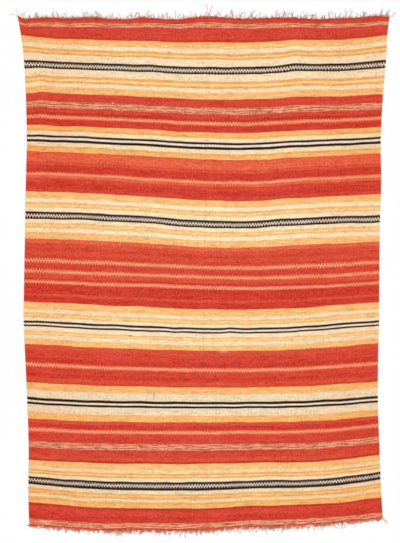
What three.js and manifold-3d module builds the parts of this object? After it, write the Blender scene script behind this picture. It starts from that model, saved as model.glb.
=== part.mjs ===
// A striped wool wearing blanket, woven in one piece and laid out flat, face up. Its cut and
// frayed warp ends stay on as a short, uneven fringe at the top and the bottom edge.
// Millimetres. +Z is up, +Y runs to the top edge and +X to the right selvedge, seen face on.
// Every piece lies on z = 0.

import * as THREE from 'three';
import { mergeVertices } from 'three/addons/utils/BufferGeometryUtils.js';
import Module from 'manifold-3d';

const wasm = await Module();
wasm.setup();

// Points nearer to each other than this are one point.
const WELD = 1e-4;

// The cloth: its thickness, the width over which its rim is pressed thinner, the slow
// swells of its upper face where it doesn't lie quite flat, and its largest grid cell.
const CLOTH = {
  thickness: 2.3,
  rimThickness: 1.7,
  rimWidth: 22,
  swell: 0.35,
  swellAcross: 610,
  swellAlong: 470,
  swellSkew: 0.3,
  cellAcross: 75,
  cellAlong: 75,
};

// The selvedges: x of the left and the right one at each height y.
const SELVEDGES = [
  { y: 920, left: -657, right: 683 },
  { y: 854, left: -645, right: 675 },
  { y: 796, left: -637, right: 673 },
  { y: 681, left: -629, right: 663 },
  { y: 566, left: -625, right: 655 },
  { y: 450, left: -624, right: 651 },
  { y: 335, left: -627, right: 653 },
  { y: 162, left: -630, right: 648 },
  { y: -11, left: -633, right: 646 },
  { y: -184, left: -635, right: 645 },
  { y: -299, left: -630, right: 642 },
  { y: -472, left: -622, right: 641 },
  { y: -645, left: -617, right: 647 },
  { y: -818, left: -618, right: 654 },
  { y: -920, left: -615, right: 661 },
];

// The end edges: y of the top and the bottom one at each share of the way across, from the
// left selvedge at 0 to the right one at 1. The warps pull both into shallow waves.
const ENDS = [
  { across: 0, top: 922, bottom: -916 },
  { across: 0.016, top: 911, bottom: -917 },
  { across: 0.04, top: 913, bottom: -918 },
  { across: 0.08, top: 915.5, bottom: -922 },
  { across: 0.14, top: 912.5, bottom: -927.5 },
  { across: 0.2, top: 916.5, bottom: -933 },
  { across: 0.285, top: 908.5, bottom: -932.5 },
  { across: 0.335, top: 914.5, bottom: -931.5 },
  { across: 0.43, top: 908.5, bottom: -934 },
  { across: 0.5, top: 918.5, bottom: -932 },
  { across: 0.61, top: 910.5, bottom: -922 },
  { across: 0.705, top: 915, bottom: -918.5 },
  { across: 0.825, top: 909.5, bottom: -910.5 },
  { across: 0.87, top: 912.5, bottom: -905.5 },
  { across: 0.94, top: 916.5, bottom: -897.5 },
  { across: 0.965, top: 921.5, bottom: -894 },
  { across: 1, top: 918, bottom: -889.5 },
];

// The fringe: one strand for each pair of warps, rooted in a strip that lies just off the
// cloth's end edge. A strand is a three-sided yarn end with its flat side down: its sizes
// at the root, at the knee and at the tip, the share of its curl that it turns before and
// after the knee, and the rates, in radians across the cloth, at which the lean wanders.
const FRINGE = {
  strands: 125,
  gap: 0.36,
  stripWidth: 4.2,
  stripHeight: 1.6,
  stripBevel: 0.7,
  rootDepth: 2.4,
  rootWidth: 2.6,
  rootHeight: 1.9,
  kneeAt: 0.55,
  kneeWidth: 2.2,
  kneeHeight: 1.6,
  tipWidth: 1.1,
  tipHeight: 0.9,
  turn: 0.5,
  slowWander: 37,
  quickWander: 83,
};

// How far the ordinary strands reach past the strip, and how far they lean from straight
// out, in degrees. The bottom ends are cut shorter and lie curled.
const TOP_GROWTH = { seed: 11, shortest: 5, longest: 24, lean: 20, curl: 20 };
const BOTTOM_GROWTH = { seed: 29, shortest: 3, longest: 13, lean: 26, curl: 34 };

// Locks that stand out from the rest: where across the cloth, how long, and the lean in
// degrees, which is positive to the right.
const TOP_LOCKS = [
  { across: 0, reach: 34, lean: -52 },
  { across: 0.02, reach: 22, lean: -6 },
  { across: 0.23, reach: 38, lean: -20 },
  { across: 0.4, reach: 27, lean: -14 },
  { across: 0.468, reach: 24, lean: 8 },
  { across: 0.504, reach: 52, lean: -3 },
  { across: 0.58, reach: 29, lean: -9 },
  { across: 0.634, reach: 30, lean: -24 },
  { across: 0.706, reach: 29, lean: -12 },
  { across: 0.772, reach: 28, lean: 26 },
  { across: 0.858, reach: 22, lean: -10 },
  { across: 0.892, reach: 34, lean: 27 },
  { across: 0.985, reach: 21, lean: 6 },
  { across: 1, reach: 24, lean: 55 },
];
const BOTTOM_LOCKS = [
  { across: 0, reach: 10, lean: -60 },
  { across: 0.098, reach: 13, lean: 10 },
  { across: 0.212, reach: 12, lean: 30 },
  { across: 0.468, reach: 24, lean: 10 },
  { across: 0.492, reach: 20, lean: -14 },
  { across: 0.53, reach: 19, lean: -8 },
  { across: 0.643, reach: 21, lean: 30 },
  { across: 0.735, reach: 14, lean: 0 },
  { across: 0.93, reach: 13, lean: 18 },
  { across: 1, reach: 27, lean: 74 },
];

// Smooth curve through one column of a table, as a function of another column.
function curve(rows, at, value) {
  const sorted = [...rows].sort((a, b) => a[at] - b[at]);
  const positions = sorted.map((row) => row[at]);
  const values = sorted.map((row) => row[value]);
  const interpolant = new THREE.CubicInterpolant(positions, values, 1);
  return (place) => interpolant.evaluate(place)[0];
}

const leftEdge = curve(SELVEDGES, 'y', 'left');
const rightEdge = curve(SELVEDGES, 'y', 'right');
const topEdge = curve(ENDS, 'across', 'top');
const bottomEdge = curve(ENDS, 'across', 'bottom');

// Point of the outline's grid: across runs from selvedge to selvedge and along from the
// bottom edge to the top one, both from 0 to 1. Each row of the grid follows the end edges'
// waves, and its ends lie on the selvedges.
function clothPoint(across, along) {
  const height = (share) => THREE.MathUtils.lerp(bottomEdge(share), topEdge(share), along);
  const x = THREE.MathUtils.lerp(leftEdge(height(0)), rightEdge(height(1)), across);
  return new THREE.Vector2(x, height(across));
}

// Height of the cloth's upper face: slow swells, pressed down towards the rim.
function clothHeight(point, rimDistance) {
  const rim = THREE.MathUtils.smoothstep(rimDistance, 0, CLOTH.rimWidth);
  const across = Math.sin((2 * Math.PI * point.x) / CLOTH.swellAcross);
  const skewed = point.y + CLOTH.swellSkew * point.x;
  const along = Math.cos((2 * Math.PI * skewed) / CLOTH.swellAlong);
  const swell = CLOTH.swell * across * along * rim;
  return THREE.MathUtils.lerp(CLOTH.rimThickness, CLOTH.thickness, rim) + swell;
}

// Shares at which a direction is divided: the table's own places, and between them enough
// more that no cell is longer than the cell size. The rim has a narrow cell of its own.
function shares(places, length, cell) {
  const rim = CLOTH.rimWidth / length;
  const inner = places.filter((share) => share > rim && share < 1 - rim);
  const stops = [0, rim, ...inner, 1 - rim, 1];
  const found = [0];
  for (let i = 1; i < stops.length; i += 1) {
    const steps = Math.ceil(((stops[i] - stops[i - 1]) * length) / cell);
    for (let step = 1; step <= steps; step += 1) {
      found.push(THREE.MathUtils.lerp(stops[i - 1], stops[i], step / steps));
    }
  }
  return found;
}

// The cloth's width and length along its middle lines, and where its grid is divided.
const width = rightEdge(0) - leftEdge(0);
const length = topEdge(0.5) - bottomEdge(0.5);
const acrossShares = shares(ENDS.map((row) => row.across), width, CLOTH.cellAcross);
const alongShares = shares([], length, CLOTH.cellAlong);

// An end edge as the grid has it, straight from one division to the next.
function dividedEdge(edge) {
  const interpolant = new THREE.LinearInterpolant(acrossShares, acrossShares.map(edge), 1);
  return (across) => interpolant.evaluate(across)[0];
}

// Indexed triangles as a closed geometry with its points merged.
function closedGeometry(points, triangles) {
  const geometry = new THREE.BufferGeometry();
  const flat = points.flatMap((point) => [point.x, point.y, point.z]);
  geometry.setAttribute('position', new THREE.Float32BufferAttribute(flat, 3));
  geometry.setIndex(triangles.flat());
  return mergeVertices(geometry, WELD);
}

// The cloth: an upper and a lower grid with the same outline, joined round the rim. The
// lower one is flat, because the cloth rests on it.
function clothGeometry() {
  const columns = acrossShares.length;
  const rows = alongShares.length;
  const upper = [];
  const lower = [];
  for (const along of alongShares) {
    for (const across of acrossShares) {
      const point = clothPoint(across, along);
      const sideDistance = Math.min(across, 1 - across) * width;
      const endDistance = Math.min(along, 1 - along) * length;
      const height = clothHeight(point, Math.min(sideDistance, endDistance));
      upper.push(new THREE.Vector3(point.x, point.y, height));
      lower.push(new THREE.Vector3(point.x, point.y, 0));
    }
  }
  const below = upper.length;
  const triangles = [];
  for (let row = 0; row < rows - 1; row += 1) {
    for (let column = 0; column < columns - 1; column += 1) {
      const a = row * columns + column;
      const b = a + 1;
      const c = a + columns;
      const d = c + 1;
      triangles.push([a, b, d], [a, d, c]);
      triangles.push([below + a, below + d, below + b], [below + a, below + c, below + d]);
    }
  }
  const rim = [];
  for (let column = 0; column < columns - 1; column += 1) rim.push(column);
  for (let row = 0; row < rows - 1; row += 1) rim.push(row * columns + columns - 1);
  for (let column = columns - 1; column > 0; column -= 1) rim.push((rows - 1) * columns + column);
  for (let row = rows - 1; row > 0; row -= 1) rim.push(row * columns);
  rim.forEach((from, i) => {
    const to = rim[(i + 1) % rim.length];
    triangles.push([from, below + from, below + to], [from, below + to, to]);
  });
  return closedGeometry([...upper, ...lower], triangles);
}

// A solid carried through rings of the same number of points, each ring listed
// anticlockwise as seen looking back from the next one, with flat ends.
function loft(rings) {
  const count = rings[0].length;
  const triangles = [];
  for (let ring = 0; ring < rings.length - 1; ring += 1) {
    for (let i = 0; i < count; i += 1) {
      const a = ring * count + i;
      const b = ring * count + ((i + 1) % count);
      triangles.push([a, b, b + count], [a, b + count, a + count]);
    }
  }
  const last = (rings.length - 1) * count;
  for (let i = 1; i < count - 1; i += 1) {
    triangles.push([0, i + 1, i], [last, last + i, last + i + 1]);
  }
  return closedGeometry(rings.flat(), triangles);
}

// A closed geometry as a solid that can be joined to others.
function toSolid(geometry) {
  const mesh = new wasm.Mesh({
    numProp: 3,
    vertProperties: new Float32Array(geometry.attributes.position.array),
    triVerts: new Uint32Array(geometry.index.array),
  });
  return new wasm.Manifold(mesh);
}

// A joined solid as a geometry again.
function fromSolid(solid) {
  const mesh = solid.getMesh();
  const geometry = new THREE.BufferGeometry();
  const position = new THREE.BufferAttribute(new Float32Array(mesh.vertProperties), 3);
  geometry.setAttribute('position', position);
  geometry.setIndex(new THREE.BufferAttribute(new Uint32Array(mesh.triVerts), 1));
  return geometry;
}

// The strip that carries a fringe, along the cloth's end edge: a low bar with a bevelled
// top. outward is 1 at the top edge and -1 at the bottom one.
function stripGeometry(edge, along, outward) {
  const rings = acrossShares.map((across) => {
    const { x } = clothPoint(across, along);
    const near = edge(across) + outward * FRINGE.gap;
    const far = near + outward * FRINGE.stripWidth;
    const bevel = outward * FRINGE.stripBevel;
    const ring = [
      new THREE.Vector3(x, near, 0),
      new THREE.Vector3(x, far, 0),
      new THREE.Vector3(x, far - bevel, FRINGE.stripHeight),
      new THREE.Vector3(x, near + bevel, FRINGE.stripHeight),
    ];
    return outward > 0 ? ring : ring.reverse();
  });
  return loft(rings);
}

// One yarn end: three-sided, flat side down, from its root in the strip over a knee to its
// tip. It sets out at the lean and turns by the curl on the way.
function strandGeometry(root, reach, lean, curl, outward) {
  const heading = (degrees) => {
    const angle = THREE.MathUtils.degToRad(degrees);
    return new THREE.Vector2(Math.sin(angle), outward * Math.cos(angle));
  };
  const set = heading(lean - curl * FRINGE.turn);
  const end = heading(lean + curl * FRINGE.turn);
  const knee = root.clone().addScaledVector(set, reach * FRINGE.kneeAt);
  const tip = knee.clone().addScaledVector(end, reach * (1 - FRINGE.kneeAt));
  const middle = set.clone().add(end).normalize();
  const section = (point, along, wide, high) => {
    const side = new THREE.Vector2(along.y, -along.x).multiplyScalar(wide / 2);
    return [
      new THREE.Vector3(point.x - side.x, point.y - side.y, 0),
      new THREE.Vector3(point.x, point.y, high),
      new THREE.Vector3(point.x + side.x, point.y + side.y, 0),
    ];
  };
  return loft([
    section(root, set, FRINGE.rootWidth, FRINGE.rootHeight),
    section(knee, middle, FRINGE.kneeWidth, FRINGE.kneeHeight),
    section(tip, end, FRINGE.tipWidth, FRINGE.tipHeight),
  ]);
}

// The strand that a lock belongs to. One at the right selvedge belongs to the last strand.
function lockStrand(across) {
  return Math.min(FRINGE.strands - 1, Math.floor(across * FRINGE.strands));
}

// A fringe: the strip with its strands joined to it. The lean wanders slowly from one
// strand to the next, so that neighbours stay apart.
function fringeGeometry({ edge, along, outward, growth, locks }) {
  const random = THREE.MathUtils.seededRandom;
  const solids = [toSolid(stripGeometry(edge, along, outward))];
  const rootOffset = FRINGE.gap + FRINGE.stripWidth - FRINGE.rootDepth;
  const straightEdge = dividedEdge(edge);
  const pitch = 1 / FRINGE.strands;
  random(growth.seed);
  for (let strand = 0; strand < FRINGE.strands; strand += 1) {
    const across = (strand + 0.5) * pitch;
    const lock = locks.find((row) => lockStrand(row.across) === strand);
    const chance = random();
    const grown = THREE.MathUtils.lerp(growth.shortest, growth.longest, chance * chance);
    const wander = Math.sin(across * FRINGE.slowWander + growth.seed)
      * Math.cos(across * FRINGE.quickWander);
    const reach = (lock ? lock.reach : grown) + FRINGE.rootDepth;
    const lean = lock ? lock.lean : growth.lean * wander;
    const curl = growth.curl * (random() - 0.5);
    const foot = straightEdge(across) + outward * rootOffset;
    const root = new THREE.Vector2(clothPoint(across, along).x, foot);
    solids.push(toSolid(strandGeometry(root, reach, lean, curl, outward)));
  }
  return fromSolid(wasm.Manifold.union(solids));
}

const dry = { roughness: 0.95, metalness: 0 };
const wool = new THREE.MeshStandardMaterial({ color: 0xd2603f, ...dry });
const warpYarn = new THREE.MeshStandardMaterial({ color: 0xb9a596, ...dry });

const blanket = new THREE.Mesh(clothGeometry(), wool);
blanket.name = 'blanket';

const fringeTop = new THREE.Mesh(
  fringeGeometry({ edge: topEdge, along: 1, outward: 1, growth: TOP_GROWTH, locks: TOP_LOCKS }),
  warpYarn,
);
fringeTop.name = 'fringe_top';

const fringeBottom = new THREE.Mesh(
  fringeGeometry({
    edge: bottomEdge,
    along: 0,
    outward: -1,
    growth: BOTTOM_GROWTH,
    locks: BOTTOM_LOCKS,
  }),
  warpYarn,
);
fringeBottom.name = 'fringe_bottom';

// The origin is under the middle of the whole spread, fringes included.
const spread = new THREE.Group();
spread.add(blanket, fringeTop, fringeBottom);
const centre = new THREE.Box3().setFromObject(spread, true).getCenter(new THREE.Vector3());
spread.position.set(-centre.x, -centre.y, 0);

const part = new THREE.Group();
part.name = 'wearing_blanket';
part.add(spread);

export default part;
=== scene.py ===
"""The looks of a striped wool wearing blanket, laid flat and seen from straight above.

The cloth is a weft-faced plain weave. Its warps run down the length and make fine ribs, and
its wefts cover them and make the stripes. Every stripe is listed pick by pick, as a weaver
writes a draft, and the surface shows at each warp the pick that passes over it. The cut ends
of the warps are the fringe at the top and the bottom.

Tables are in millimetres, with x to the right and y up from the middle of the photograph.
"""

import logging
import math
from dataclasses import dataclass, field, replace
from enum import Enum
from functools import partialmethod
from typing import Any, Callable, Iterable, Sequence

import bpy
import numpy as np
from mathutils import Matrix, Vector


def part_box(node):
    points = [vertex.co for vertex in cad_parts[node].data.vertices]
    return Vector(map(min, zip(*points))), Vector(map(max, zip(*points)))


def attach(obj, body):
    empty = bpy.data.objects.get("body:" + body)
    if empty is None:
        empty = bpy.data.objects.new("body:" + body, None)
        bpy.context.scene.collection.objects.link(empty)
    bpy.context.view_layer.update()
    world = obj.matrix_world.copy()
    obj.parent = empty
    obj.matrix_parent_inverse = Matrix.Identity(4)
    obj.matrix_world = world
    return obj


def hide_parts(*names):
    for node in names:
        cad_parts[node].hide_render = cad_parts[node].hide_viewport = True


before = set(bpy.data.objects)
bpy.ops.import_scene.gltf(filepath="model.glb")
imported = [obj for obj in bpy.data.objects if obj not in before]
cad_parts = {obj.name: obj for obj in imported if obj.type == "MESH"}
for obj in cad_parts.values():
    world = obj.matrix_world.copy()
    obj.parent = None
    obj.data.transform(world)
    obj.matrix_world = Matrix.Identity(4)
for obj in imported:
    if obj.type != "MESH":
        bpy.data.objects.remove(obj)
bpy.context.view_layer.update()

LOG = logging.getLogger("blanket")
MM = 0.001
BODY = "root"

# The photograph's height in pixels, and the real length of one pixel on the cloth.
PHOTO_HEIGHT_PX = 543
MM_PER_PX = 3.604

Pair = tuple[float, float]
Triple = tuple[float, float, float]
Array = np.ndarray
Random = np.random.Generator
Piece = bpy.types.Object
Tree = bpy.types.NodeTree
Socket = bpy.types.NodeSocket
Feed = Any

# Selvedges: height, x of the left one and x of the right one.
SELVEDGES = (
    (920, -657, 683),
    (854, -645, 675),
    (796, -637, 673),
    (681, -629, 663),
    (566, -625, 655),
    (450, -624, 651),
    (335, -627, 653),
    (162, -630, 648),
    (-11, -633, 646),
    (-184, -635, 645),
    (-299, -630, 642),
    (-472, -622, 641),
    (-645, -617, 647),
    (-818, -618, 654),
    (-920, -615, 661),
)

# End edges: share of the way across, y of the top edge and y of the bottom edge.
ENDS = (
    (0.0, 922, -916),
    (0.016, 911, -917),
    (0.04, 913, -918),
    (0.08, 915.5, -922),
    (0.14, 912.5, -927.5),
    (0.2, 916.5, -933),
    (0.285, 908.5, -932.5),
    (0.335, 914.5, -931.5),
    (0.43, 908.5, -934),
    (0.5, 918.5, -932),
    (0.61, 910.5, -922),
    (0.705, 915, -918.5),
    (0.825, 909.5, -910.5),
    (0.87, 912.5, -905.5),
    (0.94, 916.5, -897.5),
    (0.965, 921.5, -894),
    (1.0, 918, -889.5),
)

# How the wefts sag between the selvedges: a row for each of a dozen picks, by its distance
# down the middle of the cloth, with how far it rises at these shares across.
SAG_ACROSS = (0.0, 0.1, 0.2, 0.34, 0.5, 0.66, 0.78, 0.88, 1.0)
SAG = (
    (97, (25, 12, 8, 2, -3, -1, 7, 8, 26)),
    (270, (20, 18, 14, 6, -3, -1, 7, 9, 16)),
    (443, (26, 22, 17, 9, -2, -3, 6, 10, 19)),
    (616, (28, 25, 19, 8, -4, -6, 5, 12, 19)),
    (789, (31, 29, 24, 15, -1, -1, 8, 13, 18)),
    (875, (29, 26, 20, 11, 0, -1, 6, 12, 20)),
    (962, (22, 17, 11, 7, 0, -4, 0, 5, 16)),
    (1048, (27, 22, 15, 8, -1, -1, 4, 14, 25)),
    (1221, (25, 19, 12, 6, 1, 1, 6, 15, 27)),
    (1394, (18, 10, 5, 2, 0, 1, 4, 10, 22)),
    (1567, (11, 5, 1, -1, -1, 2, 3, 11, 29)),
    (1740, (24, 12, 3, -1, -1, 8, 11, 19, 40)),
)

# The picks next to an end edge follow its waves by this share, at this distance from it.
TOP_FOLLOW = (17, 0.6)
BOTTOM_FOLLOW = (23, 0.85)


class Yarn(Enum):
    """The weft yarns, by their colour as it looks in even light (sRGB, 0 to 255)."""

    DARK_RED = (199, 60, 42)
    DEEP_RED = (211, 62, 47)
    RED = (216, 71, 53)
    WARM_RED = (220, 82, 56)
    CORAL = (233, 101, 69)
    MOTTLED = (219, 137, 100)
    DIM_BEAD = (236, 114, 80)
    BEAD = (255, 176, 130)
    ORANGE = (241, 177, 100)
    PALE_ORANGE = (246, 194, 127)
    GOLD = (250, 185, 113)
    YELLOW = (251, 194, 125)
    LIGHT_YELLOW = (255, 211, 146)
    WARM_CREAM = (247, 213, 166)
    CREAM = (250, 223, 184)
    WHITE_CREAM = (254, 229, 191)
    GREY_CREAM = (241, 217, 181)
    WHITE = (243, 224, 204)
    GREY_BEAD = (124, 104, 88)
    PALE_BEAD = (238, 219, 201)
    BLACK = (46, 29, 16)


def beads(tone: Yarn, light: Yarn, ground: Yarn) -> tuple[tuple[Yarn, int], ...]:
    """Two rows of beads of three light picks each: light and ground picks take turns, and two
    light picks together between the rows move the lower row over by one warp, which makes a
    zigzag. The outermost picks are of a darker tone, so its teeth are pointed.

    Args:
        tone: yarn of the outermost picks.
        light: yarn of the beads.
        ground: yarn between them.

    Returns:
        The ten picks, as draft entries.
    """
    yarns = (tone, ground, light, ground, light, light, ground, light, ground, tone)
    return tuple((yarn, 1) for yarn in yarns)


RED_BEADS = beads(Yarn.DIM_BEAD, Yarn.BEAD, Yarn.RED)
BLACK_BEADS = beads(Yarn.GREY_BEAD, Yarn.PALE_BEAD, Yarn.BLACK)


def read_draft(text: str) -> tuple[tuple[Yarn, int], ...]:
    """A draft from text: yarns with their numbers of picks, and names of beaded bands."""
    bands = {"red_beads": RED_BEADS, "black_beads": BLACK_BEADS}
    entries: list[tuple[Yarn, int]] = []
    for entry in text.split(","):
        name, *picks = entry.split()
        entries += [(Yarn[name.upper()], int(picks[0]))] if picks else bands[name]
    return tuple(entries)


# From the top edge down.
DRAFT = read_draft("""
    dark_red 5, red 8, mottled 11, red 27, deep_red 6, gold 6, pale_orange 6, yellow 3,
    cream 10, orange 6, light_yellow 3, orange 5, cream 16, black 4, black_beads, black 3,
    cream 16, orange 6, light_yellow 5, orange 5, cream 9, pale_orange 4, gold 3, yellow 8,
    red 19, mottled 15, red 10, dark_red 6, red_beads, deep_red 15, gold 8, orange 5,
    cream 9, black 5, white 5, black 6, cream 9, orange 5, gold 8, warm_red 2, coral 20,
    warm_red 8, deep_red 16, red_beads, coral 4, red 9, deep_red 14, red 9, yellow 15,
    white_cream 9, pale_orange 5, light_yellow 4, pale_orange 3, white_cream 10, black 4,
    black_beads, black 3, white_cream 8, pale_orange 4, light_yellow 4, pale_orange 4,
    white_cream 9, pale_orange 4, yellow 11, coral 9, warm_red 9, red 7, warm_red 8, red 8,
    red_beads, red 12, red_beads, warm_red 9, deep_red 4, red_beads, deep_red 23, warm_red 6,
    deep_red 15, yellow 16, cream 8, pale_orange 4, light_yellow 3, pale_orange 4,
    white_cream 7, black 5, white 4, black 4, white_cream 9, pale_orange 3, light_yellow 4,
    pale_orange 3, cream 8, yellow 12, warm_red 12, red 16, deep_red 11, red_beads, red 12,
    deep_red 8, red 3, warm_red 7, red 4, gold 15, grey_cream 17, black 6, white 4, black 5,
    grey_cream 16, gold 15, warm_red 8, deep_red 10, red_beads, red 21, mottled 14, red 16,
    warm_red 9, dark_red 5, yellow 14, warm_cream 8, orange 4, light_yellow 3, orange 4,
    cream 8, black 4, black_beads, black 5, grey_cream 8, orange 4, yellow 4, orange 4,
    warm_cream 7, orange 5, gold 8, dark_red 5, red 14, deep_red 15, mottled 12, deep_red 4
""")


@dataclass(frozen=True)
class Mark:
    """A fleck, scuff or worn spot on the face, placed from the photograph's middle."""

    x: float
    y: float
    across: float
    along: float
    strength: float
    light: bool = False


MARKS = (
    Mark(-112, 790, 9, 5, 0.45),
    Mark(72, 459, 5, 4, 0.9),
    Mark(-443, 20, 5, 7, 0.7),
    Mark(-494, -160, 8, 4, 0.45),
    Mark(-252, -232, 10, 5, 0.4),
    Mark(-180, -255, 7, 4, 0.4),
    Mark(-166, -445, 5, 12, 0.45),
    Mark(-371, -510, 7, 5, 0.4),
    Mark(-169, -805, 6, 4, 0.45),
    Mark(-533, -885, 7, 6, 0.6),
    Mark(-314, 607, 5, 4, 0.4, light=True),
    Mark(83, -283, 26, 14, 0.3, light=True),
)


@dataclass(frozen=True)
class Pucker:
    """A place where the wefts bow up, or down where the rise is below zero."""

    x: float
    y: float
    across: float
    along: float
    rise: float


PUCKERS = (
    Pucker(-640, 745, 45, 55, -5),
    Pucker(-577, 625, 27, 110, 5),
    Pucker(325, 744, 36, 110, 4.5),
    Pucker(20, 730, 50, 110, 2.2),
    Pucker(296, 270, 45, 170, 2.5),
    Pucker(-180, 748, 36, 80, 2.5),
    Pucker(-600, -840, 60, 60, 1.5),
    Pucker(-90, -240, 16, 50, -2),
    Pucker(110, -220, 20, 60, 2),
)


@dataclass(frozen=True)
class Lock:
    """A lock of warp ends that stands out: its share across, reach and lean in degrees."""

    across: float
    reach: float
    lean: float


TOP_LOCKS = (
    Lock(0.0, 34, -52), Lock(0.02, 22, -6), Lock(0.23, 38, -20), Lock(0.4, 27, -14),
    Lock(0.468, 24, 8), Lock(0.504, 52, -3), Lock(0.58, 29, -9), Lock(0.634, 30, -24),
    Lock(0.706, 29, -12), Lock(0.772, 28, 26), Lock(0.858, 22, -10), Lock(0.892, 34, 27),
    Lock(0.985, 21, 6), Lock(1.0, 24, 55),
)
BOTTOM_LOCKS = (
    Lock(0.0, 10, -60), Lock(0.098, 13, 10), Lock(0.212, 12, 30), Lock(0.468, 24, 10),
    Lock(0.492, 20, -14), Lock(0.53, 19, -8), Lock(0.643, 21, 30), Lock(0.735, 14, 0),
    Lock(0.93, 13, 18), Lock(1.0, 27, 74),
)


def smooth_through(
    stations: Sequence[float], values: Array, at: Array
) -> Array:
    """Smooth curve through given points. Between two stations it is the cubic that meets both
    values with the mean slope of the spans on each side; at an end, with that span's slope.

    Args:
        stations: places in rising order.
        values: a value, or a row of values, at each place.
        at: places at which the curve is wanted.

    Returns:
        The curve at those places, one row for each.
    """
    places = np.asarray(stations, float)
    points = np.asarray(values, float).reshape(len(places), -1)
    spans = np.diff(places)[:, None]
    slopes = np.diff(points, axis=0) / spans
    tangents = np.vstack([slopes[:1], (slopes[1:] + slopes[:-1]) / 2, slopes[-1:]])
    wanted = np.atleast_1d(np.asarray(at, float))
    low = np.clip(np.searchsorted(places, wanted, side="right") - 1, 0, len(places) - 2)
    span = spans[low]
    p = (wanted[:, None] - places[low][:, None]) / span
    start = (1 + 2 * p) * (1 - p) ** 2 * points[low] + p * (1 - p) ** 2 * span * tangents[low]
    end = p**2 * (3 - 2 * p) * points[low + 1] - p**2 * (1 - p) * span * tangents[low + 1]
    return start + end


def column(table: Sequence[Sequence[float]], at: int, value: int) -> Callable[..., Array]:
    """Smooth curve through one column of a table as a function of another column."""
    rows = sorted(table, key=lambda row: row[at])
    places = [row[at] for row in rows]
    values = np.array([row[value] for row in rows])
    return lambda wanted: smooth_through(places, values, wanted)[:, 0]


LEFT_EDGE = column(SELVEDGES, 0, 1)
RIGHT_EDGE = column(SELVEDGES, 0, 2)
TOP_EDGE = column(ENDS, 0, 1)
BOTTOM_EDGE = column(ENDS, 0, 2)


def ease(value: Array) -> Array:
    """Smooth step: 0 below 0, 1 above 1, and level at both."""
    clipped = np.clip(value, 0.0, 1.0)
    return clipped * clipped * (3 - 2 * clipped)


def linear(colour: Sequence[float]) -> tuple[float, float, float, float]:
    """An sRGB colour, 0 to 255, as linear light with full alpha."""
    share = np.asarray(colour, float) / 255
    light = np.where(share <= 0.04045, share / 12.92, ((share + 0.055) / 1.055) ** 2.4)
    return (float(light[0]), float(light[1]), float(light[2]), 1.0)


def grid_quads(rows: int, columns: int, first: int = 0) -> Array:
    """Corner numbers of the cells of a grid whose points are stored row by row, from a first
    number on. They run anticlockwise when columns run right and rows up."""
    corner = first + np.arange(rows - 1)[:, None] * columns + np.arange(columns - 1)
    cell = np.stack([corner, corner + 1, corner + columns + 1, corner + columns], axis=-1)
    return cell.reshape(-1, 4)


def border(rows: int, columns: int) -> Array:
    """Numbers of a grid's border points, in order round it from its first row."""
    return np.concatenate([
        np.arange(columns),
        np.arange(1, rows) * columns + columns - 1,
        (rows - 1) * columns + np.arange(columns - 2, -1, -1),
        np.arange(rows - 2, 0, -1) * columns,
    ])


def shell_faces(rows: int, columns: int) -> Array:
    """Corner numbers of a thin closed shell's faces: an upper grid whose rows run down, a lower
    grid of the same size after it, and walls between their borders."""
    count = rows * columns
    ring = border(rows, columns)
    following = np.roll(ring, -1)
    walls = np.stack([ring, following, following + count, ring + count], axis=-1)
    upper = grid_quads(rows, columns)[:, ::-1]
    return np.vstack([upper, grid_quads(rows, columns, count), walls])


def raised(flat: Array, height: Array) -> Array:
    """Flat points with a height for each, as x, y and z."""
    return np.concatenate([flat, height[..., None]], axis=-1)


def clipped_normal(rng: Random, count: int) -> Array:
    """Random numbers with a normal spread of 1, kept from -2 to 2."""
    return np.clip(rng.normal(size=count), -2, 2)


def mesh_object(name: str, points: Array, faces: Array) -> Piece:
    """A smooth-shaded mesh object at the origin from arrays of points and of corner numbers.

    Args:
        name: name of the object and of its mesh.
        points: one row of x, y and z for each vertex, in metres.
        faces: one row of corner numbers for each face, all of the same length.

    Returns:
        The object, linked to the scene.
    """
    mesh = bpy.data.meshes.new(name)
    count, corners = faces.shape
    mesh.vertices.add(len(points))
    mesh.vertices.foreach_set("co", points.astype(np.float32).ravel())
    mesh.loops.add(count * corners)
    mesh.loops.foreach_set("vertex_index", faces.astype(np.int32).ravel())
    mesh.polygons.add(count)
    mesh.polygons.foreach_set("loop_start", np.arange(count, dtype=np.int32) * corners)
    mesh.polygons.foreach_set("use_smooth", np.ones(count, bool))
    mesh.update(calc_edges=True)
    mesh.validate()
    made = bpy.data.objects.new(name, mesh)
    bpy.context.scene.collection.objects.link(made)
    return made


def set_attribute(piece: Piece, name: str, values: Array) -> None:
    """Stores a vector or a number for each vertex under a name that materials can read."""
    kind, key = ("FLOAT_VECTOR", "vector") if values.ndim == 2 else ("FLOAT", "value")
    attribute = piece.data.attributes.new(name, kind, "POINT")
    attribute.data.foreach_set(key, values.astype(np.float32).ravel())


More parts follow.
